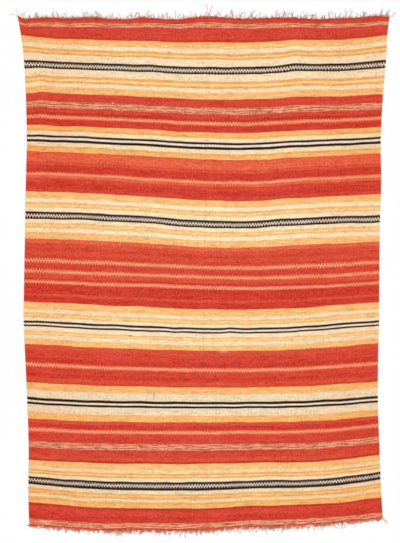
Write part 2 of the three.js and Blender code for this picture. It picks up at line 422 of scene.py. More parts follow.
class Graph:
    """Adds shader nodes to a tree. A feed is a socket to link from, or a plain value."""

    def __init__(self, tree: Tree) -> None:
        """Starts with the tree as it is."""
        self.tree = tree

    def feed(self, sockets: Any, feeds: dict[Any, Feed]) -> None:
        """Links or sets inputs by their names or numbers."""
        for key, feed in feeds.items():
            if isinstance(feed, Socket):
                self.tree.links.new(feed, sockets[key])
            else:
                sockets[key].default_value = feed

    def node(self, kind: str, feeds: dict[Any, Feed] | None = None, **settings: Any) -> Any:
        """Adds a node with feeds by the name or number of an input, and with its settings."""
        made = self.tree.nodes.new(kind)
        for key, value in settings.items():
            setattr(made, key, value)
        self.feed(made.inputs, feeds or {})
        return made

    def math(self, operation: str, *feeds: Feed) -> Socket:
        """Result of a Math node on one to three feeds."""
        return self.node("ShaderNodeMath", dict(enumerate(feeds)), operation=operation).outputs[0]

    # The Math nodes that are used most, by plain names.
    plus = partialmethod(math, "ADD")
    minus = partialmethod(math, "SUBTRACT")
    times = partialmethod(math, "MULTIPLY")
    over = partialmethod(math, "DIVIDE")
    times_plus = partialmethod(math, "MULTIPLY_ADD")

    def vector_math(self, operation: str, *feeds: Feed) -> Any:
        """Outputs of a Vector Math node: a vector, and a number such as a length."""
        made = self.node("ShaderNodeVectorMath", dict(enumerate(feeds)), operation=operation)
        return made.outputs

    def vector(self, x: Feed = 0.0, y: Feed = 0.0, z: Feed = 0.0) -> Socket:
        """Vector made of three feeds."""
        return self.node("ShaderNodeCombineXYZ", {0: x, 1: y, 2: z}).outputs[0]

    def scaled(self, x: Feed, y: Feed, rates: Pair, z: float = 0.0) -> Socket:
        """Vector of two feeds, each times its rate, and a plain third part."""
        return self.vector(self.times(x, rates[0]), self.times(y, rates[1]), z)

    def parts(self, vector: Feed) -> tuple[Socket, Socket, Socket]:
        """The three parts of a vector."""
        outputs = self.node("ShaderNodeSeparateXYZ", {0: vector}).outputs
        return outputs[0], outputs[1], outputs[2]

    def position(self) -> Socket:
        """Place in the object's own coordinates."""
        return self.node("ShaderNodeTexCoord").outputs["Object"]

    def attribute(self, name: str) -> Socket:
        """Vector that the piece stores under a name."""
        return self.node("ShaderNodeAttribute", attribute_name=name).outputs["Vector"]

    def map(self, value: Feed, low: float, high: float, to_low: Feed, to_high: Feed) -> Socket:
        """Value moved from one range to another with soft ends."""
        feeds = {0: value, 1: low, 2: high, 3: to_low, 4: to_high}
        return self.node("ShaderNodeMapRange", feeds, interpolation_type="SMOOTHSTEP").outputs[0]

    def noise(self, vector: Feed, scale: Feed, detail: float = 2.0, **more: Feed) -> Socket:
        """Smooth noise from about 0 to 1."""
        feeds = {"Vector": vector, "Scale": scale, "Detail": detail, **more}
        return self.node("ShaderNodeTexNoise", feeds).outputs[0]

    def swing(self, vector: Feed, detail: float) -> Socket:
        """Smooth noise from about -2 to 2."""
        return self.times_plus(self.noise(vector, 1.0, detail), 4.0, -2.0)

    def mix(self, factor: Feed, first: Feed, second: Feed, mode: str = "MIX") -> Socket:
        """Two colours mixed. The node has its factor at 0, and its colours at 6 and 7."""
        feeds = {0: factor, 6: first, 7: second}
        return self.node("ShaderNodeMix", feeds, data_type="RGBA", blend_type=mode).outputs[2]

    def ramp(
        self, value: Feed, stops: Sequence[tuple[float, Sequence[float]]], mode: str = "LINEAR"
    ) -> Any:
        """Colour and alpha of a ramp, which is read at a value. A stop is a place and a linear
        colour with alpha."""
        made = self.node("ShaderNodeValToRGB", {0: value})
        made.color_ramp.interpolation = mode
        elements = made.color_ramp.elements
        elements.remove(elements[1])
        for number, (place, colour) in enumerate(stops):
            stop = elements[0] if number == 0 else elements.new(place)
            stop.position = place
            stop.color = colour
        return made.outputs

    def use(self, group: Tree, feeds: dict[str, Feed]) -> Any:
        """Places a node group and returns its outputs."""
        return self.node("ShaderNodeGroup", feeds, node_tree=group).outputs

    def laid(self, group: Tree, scale: float) -> Any:
        """Outputs of a node group that is laid over the object's own coordinates."""
        return self.use(group, {"Vector": self.position(), "Scale": scale})


@dataclass(frozen=True)
class Port:
    """A named input or output of a node group, with the default of an input."""

    name: str
    kind: str = "NodeSocketFloat"
    default: Any = None


def new_group(
    name: str, inputs: Iterable[Port], outputs: Iterable[Port]
) -> tuple[Tree, Graph, Any, Any]:
    """Starts a shader node group.

    Args:
        name: name of the group.
        inputs: its inputs.
        outputs: its outputs.

    Returns:
        The group, a graph to fill it, its input node's outputs and its output node's inputs.
    """
    tree = bpy.data.node_groups.new(name, "ShaderNodeTree")
    for direction, ports in (("INPUT", inputs), ("OUTPUT", outputs)):
        for port in ports:
            made = tree.interface.new_socket(port.name, in_out=direction, socket_type=port.kind)
            if port.default is not None:
                made.default_value = port.default
    graph = Graph(tree)
    given = graph.node("NodeGroupInput").outputs
    wanted = graph.node("NodeGroupOutput").inputs
    return tree, graph, given, wanted


def weave_structure() -> Tree:
    """Group that finds which pick shows at a place in the weave, and a chance number from 0
    to 1 for each float.

    The place counts warps across and picks down. At an even warp the even picks pass over,
    at an odd warp the odd ones, and each float covers the height of two picks:
    pick = parity + 2 * floor((place - parity + 0.5) / 2). Slow and quick noise first move the
    place up or down by the wobble.
    """
    slow_rates, quick_rates = (0.055, 0.03), (0.33, 0.11)
    slow_weight, noise_mean = 2.6, 1.8
    tree, graph, given, wanted = new_group(
        "weave_structure",
        [Port("Place", "NodeSocketVector"), Port("Wobble", default=0.4)],
        [Port("Pick"), Port("Rib"), Port("Float"), Port("Chance")],
    )
    warp, pick, _ = graph.parts(given["Place"])
    slow = graph.noise(graph.scaled(warp, pick, slow_rates), 1.0, 1.0)
    quick = graph.noise(graph.scaled(warp, pick, quick_rates), 1.0, 0.0)
    both = graph.plus(graph.times(slow, slow_weight), quick)
    offset = graph.times(graph.minus(both, noise_mean), given["Wobble"])
    parity = graph.math("MODULO", graph.math("FLOOR", warp), 2.0)
    shifted = graph.plus(graph.minus(graph.plus(pick, offset), parity), 0.5)
    pair = graph.math("FLOOR", graph.over(shifted, 2.0))
    found = graph.plus(graph.times(pair, 2.0), parity)
    across = graph.math("FRACT", warp)
    down = graph.minus(graph.over(shifted, 2.0), pair)
    own = graph.vector(graph.math("FLOOR", warp), found)
    graph.feed(wanted, {
        "Pick": found,
        "Rib": graph.math("SINE", graph.times(across, math.pi)),
        "Float": graph.math("SINE", graph.times(down, math.pi)),
        "Chance": graph.node("ShaderNodeTexWhiteNoise", {"Vector": own}).outputs[0],
    })
    return tree


def yarn_streaks() -> Tree:
    """Group for the unevenness of handspun, hand-dyed yarn.

    Streak is long noise that is stretched along the yarn and new on each pick. Lot is slower
    noise that takes in several picks, as one dye lot does. Tone is noise for the strength of
    the dye. All run from -1 to 1.
    """
    # Name, rates along the yarn and down the picks, offset, and detail.
    kinds = (
        ("Streak", (1.0, 0.57), 0.0, 2.0),
        ("Lot", (0.35, 0.12), 3.7, 1.0),
        ("Tone", (0.8, 0.42), 9.1, 3.0),
    )
    tree, graph, given, wanted = new_group(
        "yarn_streaks",
        [Port("Along"), Port("Pick"), Port("Length", default=12.0)],
        [Port(name) for name, *_ in kinds],
    )
    along = graph.over(given["Along"], given["Length"])
    for name, rates, offset, detail in kinds:
        spread = graph.swing(graph.scaled(along, given["Pick"], rates, offset), detail)
        clipped = graph.math("MAXIMUM", graph.math("MINIMUM", spread, 1.0), -1.0)
        graph.feed(wanted, {name: clipped})
    return tree


def wool_nap() -> Tree:
    """Group for the fine fibres that stand on wool: tangled noise as a height and a painted shade."""
    tree, graph, given, wanted = new_group(
        "wool_nap",
        [Port("Vector", "NodeSocketVector"), Port("Scale", default=900.0)],
        [Port("Height"), Port("Shade")],
    )
    detail, distortion = 3.0, 1.2
    hollow_and_tip, shades = (0.35, 0.65), (0.93, 1.05)
    tangle = graph.noise(given["Vector"], given["Scale"], detail, Distortion=distortion)
    # Painted shade: darker where the fibres dip, lighter at their tips.
    shade = graph.map(tangle, *hollow_and_tip, *shades)
    graph.feed(wanted, {"Height": tangle, "Shade": shade})
    return tree


def old_soil() -> Tree:
    """Group for the faint, uneven greying of an old textile: wide soft patches from 0 to 1."""
    tree, graph, given, wanted = new_group(
        "old_soil",
        [Port("Vector", "NodeSocketVector"), Port("Scale", default=5.0)],
        [Port("Mask")],
    )
    detail, roughness, clean_and_soiled = 4.0, 0.6, (0.42, 0.72)
    cloud = graph.noise(given["Vector"], given["Scale"], detail, Roughness=roughness)
    graph.feed(wanted, {"Mask": graph.map(cloud, *clean_and_soiled, 0.0, 1.0)})
    return tree


@dataclass(frozen=True)
class Effects:
    """The node groups that the materials share."""

    weave: Tree
    streaks: Tree
    nap: Tree
    soil: Tree

    @classmethod
    def build(cls) -> "Effects":
        """Builds every group once."""
        return cls(weave_structure(), yarn_streaks(), wool_nap(), old_soil())


def new_material(name: str) -> tuple[bpy.types.Material, Graph, Any]:
    """A material with only its shader and output, a graph to fill it, and the inputs of its
    Principled shader."""
    material = bpy.data.materials.new(name)
    material.use_nodes = True
    material.node_tree.nodes.clear()
    graph = Graph(material.node_tree)
    shader = graph.node("ShaderNodeBsdfPrincipled")
    graph.node("ShaderNodeOutputMaterial", {"Surface": shader.outputs[0]})
    return material, graph, shader.inputs


@dataclass(frozen=True)
class WovenWool:
    """The face of the blanket: striped weft yarns over ribs, with streaks, soil and marks."""

    wobble: float = 0.6
    streak_length: float = 7.0
    streak: float = 0.13
    lot: float = 0.045
    chance: float = 0.13
    speck_share: float = 0.05
    speck_shade: float = 0.2
    speck_draw: float = 37.7
    tone: float = 0.75
    green_share: float = 0.55
    veil: float = 0.008
    fleck: float = 0.024
    # Painted shade in the hollows between floats and painted light on their crowns, as brightness
    # factors.
    groove_painted_shade: float = 0.86
    crown_painted_light: float = 1.19
    crown_reach: float = 0.65
    relief: float = 0.0005
    nap_scale: float = 700.0
    nap_share: float = 0.35
    salmon: Triple = (250, 172, 136)
    tan: Triple = (184, 98, 62)
    mottle_picks: float = 6.0
    mottle_drift: float = 0.7
    mottle_wave: float = 0.85
    mottle_break: float = 2.4
    mottle_speck: float = 1.4
    # Noises of the mottle: rates across the warps and down the picks, and an offset.
    drift_noise: Triple = (0.045, 0.02, 1.3)
    break_noise: Triple = (0.13, 0.45, 8.1)
    speck_noise: Triple = (0.55, 0.6, 4.4)
    dark_mark: tuple[float, ...] = (0.10, 0.07, 0.055, 1.0)
    light_mark: tuple[float, ...] = (0.86, 0.72, 0.58, 1.0)
    mark_edge: Pair = (0.6, 1.5)
    mark_ragged: float = 0.8
    mark_ragged_scale: float = 300.0
    soil_scale: float = 4.0
    soil_tint: Triple = (225, 208, 180)
    soil_amount: float = 0.12
    middle_warp: float = 127.0
    side_tint: Triple = (0.985, 0.925, 0.895)
    side_reach: Pair = (0.2, 0.44)
    # Painted shade and highlight beside the fold: the warp of each line, and how much darker or
    # lighter.
    fold_painted_shade_and_light: tuple[Pair, ...] = ((129.2, -0.07), (132.4, 0.035))
    fold_width: float = 1.5
    fold_rate: float = 0.012
    fold_cloud: Pair = (0.38, 0.6)
    fold_strength: Pair = (0.25, 1.0)
    bump_strength: float = 0.8
    nap_range: Pair = (0.3, 0.7)
    roughness: Pair = (0.86, 0.98)
    specular: float = 0.15
    sheen: float = 0.03
    sheen_roughness: float = 0.5
    ramp_picks: int = 250
    ramp_stops: int = 32

    def runs(self) -> list[list[tuple[int, Yarn]]]:
        """The draft as (first pick, yarn), in chunks that a colour ramp can hold."""
        chunks: list[list[tuple[int, Yarn]]] = [[]]
        first = 0
        for yarn, picks in DRAFT:
            chunk = chunks[-1]
            full = len(chunk) == self.ramp_stops
            long = bool(chunk) and first + picks - chunk[0][0] > self.ramp_picks
            if full or long:
                chunk = []
                chunks.append(chunk)
            chunk.append((first, yarn))
            first += picks
        return chunks

    def draft_colour(self, graph: Graph, pick: Socket) -> tuple[Socket, Socket]:
        """Colour of a pick from a chain of stepped ramps, each for one chunk of the draft.

        A ramp is read at 256 places, so pick k of a chunk is read at (k + 0.5) / 255, and a
        stop lies half a place before its first pick. Alpha is 0 for mottled yarn.

        Args:
            graph: material's graph.
            pick: number of the pick.

        Returns:
            The colour, and 1 for plain or 0 for mottled yarn.
        """
        places = 255.0
        colour: Socket | None = None
        plain: Socket | None = None
        for chunk in self.runs():
            start = chunk[0][0]
            stops = [
                (
                    max(0.0, (first - start - 0.5) / places),
                    (*linear(yarn.value)[:3], 0.0 if yarn is Yarn.MOTTLED else 1.0),
                )
                for first, yarn in chunk
            ]
            read = graph.over(graph.minus(pick, start - 0.5), places)
            own_colour, own_plain = graph.ramp(read, stops, "CONSTANT")
            if colour is None:
                colour, plain = own_colour, own_plain
                continue
            past = graph.math("GREATER_THAN", pick, start - 0.5)
            colour = graph.mix(past, colour, own_colour)
            kept = graph.times(plain, graph.minus(1.0, past))
            plain = graph.times_plus(own_plain, past, kept)
        return colour, plain

    def mottled_colour(self, graph: Graph, place: Socket) -> Socket:
        """Salmon and tan heather: a sine down the picks, whose phase drifts along the weft,
        broken by long slanting noise and by fine specks from warp to warp.

        Args:
            graph: material's graph.
            place: place in the weave.

        Returns:
            The colour of a mottled stripe.
        """
        warp, pick, _ = graph.parts(place)

        def noise(across: float, down: float, offset: float) -> Socket:
            """Noise from about -2 to 2 at its rates and offset."""
            return graph.swing(graph.scaled(warp, pick, (across, down), offset), 2.0)

        drift = graph.times(noise(*self.drift_noise), self.mottle_drift)
        turns = graph.times_plus(pick, 1 / self.mottle_picks, drift)
        wave = graph.math("SINE", graph.times(turns, 2 * math.pi))
        level = graph.times(wave, self.mottle_wave)
        level = graph.times_plus(noise(*self.break_noise), self.mottle_break, level)
        level = graph.times_plus(noise(*self.speck_noise), self.mottle_speck, level)
        share = graph.map(level, -2.0, 2.0, 0.0, 1.0)
        return graph.mix(share, linear(self.salmon), linear(self.tan))

    def marked(self, graph: Graph, colour: Socket, middle: Vector) -> Socket:
        """Adds the flecks and worn spots: soft ellipses that darken or lighten the yarn.

        Args:
            graph: material's graph.
            colour: colour without them.
            middle: the photograph's middle in the frame, in metres.

        Returns:
            The colour with them.
        """
        position = graph.position()
        cloud = graph.noise(position, self.mark_ragged_scale, 1.0)
        ragged = graph.times(cloud, self.mark_ragged)
        for mark in MARKS:
            centre = (middle.x + mark.x * MM, middle.y + mark.y * MM, 0.0)
            size = (1 / (mark.across * MM), 1 / (mark.along * MM), 0.0)
            offset = graph.vector_math("SUBTRACT", position, centre)[0]
            scaled = graph.vector_math("MULTIPLY", offset, size)[0]
            reach = graph.plus(graph.vector_math("LENGTH", scaled)[1], ragged)
            amount = graph.map(reach, *self.mark_edge, mark.strength, 0.0)
            colour = graph.mix(amount, colour, self.light_mark if mark.light else self.dark_mark)
        return colour

    def uneven(
        self, graph: Graph, effects: Effects, weave: Any, colour: Socket, warp: Socket,
        shade: Socket,
    ) -> Socket:
        """Handspun unevenness and painted shade: colour * (b, b (1 + g t), b (1 + t)) + v.

        b is the brightness from streaks, dye lot, the float's own chance, which makes a few
        floats grey specks, the nap's painted shade, and painted shade in the hollow between
        floats with painted light on their crowns. t is the tone of the dye, which swings the
        more, the less blue there is beside green, and g is green_share. v is a veil of pale
        fibres.

        Args:
            graph: material's graph.
            effects: shared node groups.
            weave: outputs of the weave structure.
            colour: the draft's colour.
            warp: warps across.
            shade: painted shade of the nap, darker in its hollows and lighter at its tips.

        Returns:
            The uneven colour.
        """
        chance = weave["Chance"]
        yarn = graph.use(effects.streaks, {
            "Along": warp, "Pick": weave["Pick"], "Length": self.streak_length})
        bright = graph.times_plus(yarn["Streak"], self.streak, 1.0 - self.chance / 2)
        bright = graph.times_plus(yarn["Lot"], self.lot, bright)
        bright = graph.times_plus(chance, self.chance, bright)
        drawn_again = graph.math("FRACT", graph.times(chance, self.speck_draw))
        speck = graph.math("LESS_THAN", drawn_again, self.speck_share)
        bright = graph.times(graph.times_plus(speck, -self.speck_shade, bright), shade)
        # Painted shade in the hollows between floats and painted light on their crowns.
        hill = graph.times(weave["Rib"], weave["Float"])
        bright = graph.times(
            bright, graph.map(hill, 0.0, self.crown_reach, self.groove_painted_shade, self.crown_painted_light))

        _, own_green, own_blue = graph.parts(colour)
        depth = graph.minus(1.0, graph.over(own_blue, own_green))
        swing = graph.times(graph.times(depth, self.tone), yarn["Tone"])
        green = graph.times(bright, graph.times_plus(swing, self.green_share, 1.0))
        blue = graph.times(bright, graph.plus(swing, 1.0))
        pale = graph.times(graph.plus(yarn["Streak"], yarn["Lot"]), self.veil)
        pale = graph.times_plus(graph.minus(chance, 0.5), self.fleck, pale)
        factors, veil = graph.vector(bright, green, blue), graph.vector(pale, pale, pale)
        return graph.vector_math("MULTIPLY_ADD", colour, factors, veil)[0]

    def worn(self, graph: Graph, colour: Socket, warp: Socket, pick: Socket) -> Socket:
        """Adds what age did, yellower sides, and along the fold down the middle a painted shade on
        one edge and a painted highlight on the other, which comes and goes.

        Args:
            graph: material's graph.
            colour: colour without them.
            warp: warps across.
            pick: picks down.

        Returns:
            The colour with them.
        """
        from_middle = graph.math("ABSOLUTE", graph.minus(warp, self.middle_warp))
        side = graph.map(
            graph.over(from_middle, 2 * self.middle_warp), *self.side_reach, 0.0, 1.0)
        yellowed = graph.mix(1.0, colour, (*self.side_tint, 1.0), "MULTIPLY")
        colour = graph.mix(side, colour, yellowed)
        cloud = graph.noise(graph.vector(graph.times(pick, self.fold_rate)), 1.0, 1.0)
        come = graph.map(cloud, *self.fold_cloud, *self.fold_strength)
        # Painted shade on one edge of the fold and a painted highlight on the other.
        lines = []
        for place, amount in self.fold_painted_shade_and_light:
            far = graph.math("ABSOLUTE", graph.minus(warp, place))
            lines.append(graph.map(far, 0.0, self.fold_width, amount, 0.0))
        value = graph.plus(graph.times(graph.plus(*lines), come), 1.0)
        return graph.mix(1.0, colour, graph.vector(value, value, value), "MULTIPLY")

    def build(self, effects: Effects, middle: Vector) -> bpy.types.Material:
        """Builds the material.

        Args:
            effects: shared node groups.
            middle: the photograph's middle in the frame, in metres.

        Returns:
            The material. It reads the attribute weave of the cloth.
        """
        material, graph, shader = new_material("woven_wool")
        place = graph.attribute("weave")
        weave = graph.use(effects.weave, {"Place": place, "Wobble": self.wobble})
        colour, plain = self.draft_colour(graph, weave["Pick"])
        colour = graph.mix(plain, self.mottled_colour(graph, place), colour)

        warp, _, _ = graph.parts(place)
        nap = graph.laid(effects.nap, self.nap_scale)
        colour = self.uneven(graph, effects, weave, colour, warp, nap["Shade"])
        colour = self.worn(graph, colour, warp, weave["Pick"])
        soil = graph.laid(effects.soil, self.soil_scale)
        greyed = graph.times(soil["Mask"], self.soil_amount)
        colour = graph.mix(greyed, colour, linear(self.soil_tint), "MULTIPLY")

        height = graph.times_plus(nap["Height"], self.nap_share, weave["Float"])
        bump = graph.node("ShaderNodeBump", {
            "Height": height, "Distance": self.relief, "Strength": self.bump_strength})
        graph.feed(shader, {
            "Base Color": self.marked(graph, colour, middle),
            "Normal": bump.outputs[0],
            "Roughness": graph.map(nap["Height"], *self.nap_range, *self.roughness),
            "Specular IOR Level": self.specular,
            "Sheen Weight": self.sheen,
            "Sheen Roughness": self.sheen_roughness,
        })
        return material


@dataclass(frozen=True)
class WarpWool:
    """The undyed warp ends, from dark brown over grey to cream, with red off the wefts."""

    tints: tuple[tuple[float, Triple], ...] = (
        (0.0, (142, 106, 84)),
        (0.2, (196, 158, 130)),
        (0.45, (228, 186, 152)),
        (0.68, (254, 232, 206)),
        (0.88, (222, 142, 106)),
    )
    red: Triple = (246, 110, 74)
    streak: float = 0.14
    streak_length: float = 3.0
    soil_scale: float = 9.0
    soil_shade: float = 0.12
    nap_scale: float = 1400.0
    relief: float = 0.0002
    tint_picks: float = 300.0
    roughness: float = 0.95
    specular: float = 0.15

    def build(self, effects: Effects) -> bpy.types.Material:
        """Builds the material.

        Args:
            effects: shared node groups.

        Returns:
            The material. It reads the attribute yarn of the fringe.
        """
        material, graph, shader = new_material("warp_wool")
        along, tint, stain = graph.parts(graph.attribute("yarn"))
        stops = [(place, linear(colour)) for place, colour in self.tints]
        reddened = graph.mix(stain, graph.ramp(tint, stops)[0], linear(self.red))
        streaks = graph.use(effects.streaks, {
            "Along": along, "Pick": graph.times(tint, self.tint_picks), "Length": self.streak_length})
        nap = graph.laid(effects.nap, self.nap_scale)
        soil = graph.laid(effects.soil, self.soil_scale)
        value = graph.times_plus(streaks["Streak"], self.streak, 1.0)
        value = graph.times_plus(soil["Mask"], -self.soil_shade, value)
        # The nap's painted shade, darker where its fibres dip.
        value = graph.times(value, nap["Shade"])
        varied = graph.node("ShaderNodeHueSaturation", {"Value": value, "Color": reddened})
        bump = graph.node("ShaderNodeBump", {"Height": nap["Height"], "Distance": self.relief})
        graph.feed(shader, {
            "Base Color": varied.outputs[0],
            "Normal": bump.outputs[0],
            "Roughness": self.roughness,
            "Specular IOR Level": self.specular,
        })
        return material


@dataclass(frozen=True)
class PaleFloor:
    """The plain near-white floor of the studio."""

    colour: Triple = (254, 254, 254)
    cloud_scale: float = 2.0
    cloud_range: Pair = (0.3, 0.7)
    shades: Pair = (0.995, 1.0)
    roughness: float = 0.9
    specular: float = 0.1

    def build(self) -> bpy.types.Material:
        """Builds the material."""
        material, graph, shader = new_material("pale_floor")
        cloud = graph.noise(graph.position(), self.cloud_scale)
        value = graph.map(cloud, *self.cloud_range, *self.shades)
        feeds = {"Value": value, "Color": linear(self.colour)}
        graph.feed(shader, {
            "Base Color": graph.node("ShaderNodeHueSaturation", feeds).outputs[0],
            "Roughness": self.roughness,
            "Specular IOR Level": self.specular,
        })
        return material


@dataclass
class Cloth:
    """The woven cloth: sizes in millimetres, and the grid that carries its ribs.

    A place on it is a share across, from the left selvedge, and a distance down its middle,
    from the top edge.
    """

    warps: int = 254
    columns_per_warp: int = 4
    rows: int = 49
    crest: float = 2.5
    valley: float = 1.95
    underside_valley: float = 0.3
    rim_crest: float = 1.75
    rim_valley: float = 1.3
    rim_width: float = 14.0
    rim_rows: tuple[float, ...] = (2.0, 9.0)
    rib_shoulder: float = 0.95
    swell: float = 0.3
    swell_across: float = 610.0
    swell_along: float = 470.0
    swell_slant: float = 0.3
    crease_across: float = 0.514
    crease_width: float = 7.0
    crease_height: float = 0.4
    warp_spread: float = 0.1
    warp_drift: float = 0.018
    rib_spread: float = 0.16
    # Slow waves of the wefts: length, phase and size, and how they differ down the cloth.
    wander: tuple[Triple, ...] = ((230.0, 0.13, 0.7), (137.0, 0.41, 0.6), (83.0, 0.77, 0.45))
    wander_stretch: float = 1.3
    wander_shift: float = 2.7
    wander_fade: float = 60.0
    ragged: float = 1.3
    ragged_rows: tuple[tuple[int, float], ...] = ((0, 1.0), (1, 0.5), (-1, 1.0), (-2, 0.5))
    underside_shift: Triple = (1.0, 0.0, 1.0)
    box_columns: int = 401
    area_columns: int = 201
    outline_rows: int = 201
    seed: int = 5
    picks: int = field(default_factory=lambda: sum(picks for _, picks in DRAFT))
    length: float = field(
        default_factory=lambda: float(np.ptp([TOP_EDGE([0.5])[0], BOTTOM_EDGE([0.5])[0]]))
    )

    def weft_height(self, across: Array, down: Array) -> Array:
        """y of the wefts: the middle's height plus the sag, which follows the end edges'
        waves next to them and the sag table between them.

        Args:
            across: shares across.
            down: distances down the middle.

        Returns:
            y in millimetres, a row for each distance and a column for each share.
        """
        top_wave = TOP_EDGE(across) - TOP_EDGE([0.5])
        bottom_wave = BOTTOM_EDGE(across) - BOTTOM_EDGE([0.5])
        stations = [0.0, float(TOP_FOLLOW[0])]
        rises = [top_wave, TOP_FOLLOW[1] * top_wave]
        for place, values in SAG:
            stations.append(float(place))
            rises.append(smooth_through(SAG_ACROSS, np.array(values), across)[:, 0])
        stations += [self.length - BOTTOM_FOLLOW[0], self.length]
        rises += [BOTTOM_FOLLOW[1] * bottom_wave, bottom_wave]
        rise = smooth_through(stations, np.array(rises), down)
        plain = TOP_EDGE([0.5])[0] - down[:, None] + rise
        x = LEFT_EDGE([0.0]) + across * (RIGHT_EDGE([0.0]) - LEFT_EDGE([0.0]))
        inside = ease(np.minimum(down, self.length - down) / self.wander_fade)[:, None]
        extra = np.zeros_like(plain)
        for long, phase, size in self.wander:
            wave = np.sin(2 * np.pi * (x / long + phase))
            turns = plain / (self.wander_stretch * long) + self.wander_shift * phase
            extra += size * wave * np.cos(2 * np.pi * turns)
        for spot in PUCKERS:
            far = ((x - spot.x) / spot.across) ** 2 + ((plain - spot.y) / spot.along) ** 2
            extra += spot.rise * np.exp(-far)
        return plain + extra * inside

    def places(self, across: Array, down: Array) -> tuple[Array, Array]:
        """x and y in millimetres over a grid, a row for each distance down and a column for each
        share across. A weft runs straight in x between the two selvedges."""
        height = self.weft_height(across, down)
        ends = self.weft_height(np.array([0.0, 1.0]), down)
        left = LEFT_EDGE(ends[:, 0])[:, None]
        right = RIGHT_EDGE(ends[:, 1])[:, None]
        return left + (right - left) * across, height

    def even_grid(self, columns: int) -> tuple[Array, Array]:
        """x and y over an even grid, to take the outline's sizes from."""
        down = np.linspace(0, self.length, self.outline_rows)
        return self.places(np.linspace(0, 1, columns), down)

    def outline_box(self) -> tuple[Array, Array]:
        """Lowest and highest x and y of the cloth, in millimetres."""
        x, y = self.even_grid(self.box_columns)
        return np.array([x.min(), y.min()]), np.array([x.max(), y.max()])

    def flat_area(self) -> float:
        """Area inside the outline in square millimetres, by the shoelace sum."""
        x, y = self.even_grid(self.area_columns)
        ring = border(*x.shape)
        ring_x, ring_y = x.ravel()[ring], y.ravel()[ring]
        cross = ring_x * np.roll(ring_y, -1) - np.roll(ring_x, -1) * ring_y
        return abs(float(cross.sum())) / 2

    def edge_places(
        self, across: Array, outward: int, inset: float, offset: Array
    ) -> Array:
        """x and y in the frame of places on the top edge, or on the bottom edge where outward is
        -1, brought in by the inset. Offset is what brings x and y into the frame."""
        x, y = self.places(across, np.array([0.0 if outward > 0 else self.length]))
        return np.stack([x[0], y[0] - outward * inset], axis=-1) + offset

    def warp_shares(self, rng: Random) -> Array:
        """Shares across of the grid's columns. Warps differ a little in width and lie closer
        on the right, and each has the same number of columns."""
        widths = 1 + self.warp_spread * clipped_normal(rng, self.warps)
        widths += self.warp_drift * np.linspace(1, -1, self.warps)
        ends = np.concatenate([[0.0], np.cumsum(widths)])
        counts = np.arange(self.warps * self.columns_per_warp + 1) / self.columns_per_warp
        return np.interp(counts, np.arange(self.warps + 1), ends / ends[-1])

    def down_rows(self) -> Array:
        """Distances down the middle of the grid's rows, which are closer at the rims."""
        inner = self.rows - 2 * len(self.rim_rows)
        start = self.rim_rows[-1]
        rim = np.array((0.0, *self.rim_rows[:-1]))
        middle_rows = np.linspace(start, self.length - start, inner)
        return np.concatenate([rim, middle_rows, (self.length - rim)[::-1]])

    def relief(
        self, x: Array, y: Array, across: Array, down: Array,
        rng: Random,
    ) -> tuple[Array, Array]:
        """Heights of the upper and the lower face.

        Upper height = valley + rib * (crest - valley) + swell + crease, lower and without the
        last two at the rim. With f as the share of a warp's width, rib is 1 at the crest and
        rib_shoulder * sqrt(1 - (2 f - 1)^2) beside it, times the warp's own strength.

        Args:
            x: x over the grid.
            y: y over the grid.
            across: shares across of its columns.
            down: distances down of its rows.
            rng: source of the warps' strengths.

        Returns:
            Both heights over the grid, in millimetres.
        """
        counts = np.arange(len(across)) / self.columns_per_warp
        share = counts % 1.0
        strength = 1 + self.rib_spread * clipped_normal(rng, self.warps)
        own = strength[np.minimum(counts.astype(int), self.warps - 1)]
        rib = np.sqrt(np.clip(1 - (2 * share - 1) ** 2, 0, 1)) * self.rib_shoulder
        rib = np.where(np.isclose(share, 0.5), 1.0, rib) * own
        width = np.ptp(x[0])
        from_side = np.minimum(across, 1 - across) * width
        from_end = np.minimum(down, self.length - down)
        inside = ease(np.minimum(from_side[None, :], from_end[:, None]) / self.rim_width)
        low = self.rim_valley + (self.valley - self.rim_valley) * inside
        high = self.rim_crest + (self.crest - self.rim_crest) * inside
        slow = np.sin(2 * np.pi * x / self.swell_across)
        slow = slow * np.cos(2 * np.pi * (y + self.swell_slant * x) / self.swell_along)
        crease = np.exp(-(((across - self.crease_across) * width / self.crease_width) ** 2))
        upper = low + (high - low) * rib + self.swell * slow * inside
        upper = upper + self.crease_height * crease * inside
        lower = self.underside_valley * (1 - np.minimum(rib, 1.0)) * np.ones_like(x)
        return upper, lower

    def build(self, offset: Array) -> Piece:
        """Builds the cloth: an upper and a lower ribbed face, joined round the rim.

        Args:
            offset: what is added to x and y to bring them into the frame, in millimetres.

        Returns:
            The cloth, with the attribute weave: warps across and picks down.
        """
        rng = np.random.default_rng(self.seed)
        across = self.warp_shares(rng)
        down = self.down_rows()
        x, y = self.places(across, down)
        counts = np.arange(len(across)) / self.columns_per_warp
        # A knot is the sum of two random numbers, which has about this spread.
        spread_of_sum = 1.4
        for row, follow in self.ragged_rows:
            knots = clipped_normal(rng, self.warps + 1)
            knots = (knots + np.roll(knots, 1)) * self.ragged / spread_of_sum
            y[row] += follow * np.interp(counts, np.arange(self.warps + 1), knots)

        flat = np.stack([x, y], axis=-1) + offset
        heights = self.relief(x, y, across, down, rng)
        points = np.concatenate([raised(flat, height).reshape(-1, 3) for height in heights])
        piece = mesh_object("blanket_cloth", points * MM, shell_faces(*x.shape))

        weave = np.stack(np.meshgrid(counts, down / self.length * self.picks), axis=-1)
        upper = raised(weave, np.zeros(x.shape)).reshape(-1, 3)
        set_attribute(piece, "weave", np.concatenate([upper, upper + self.underside_shift]))
        return piece


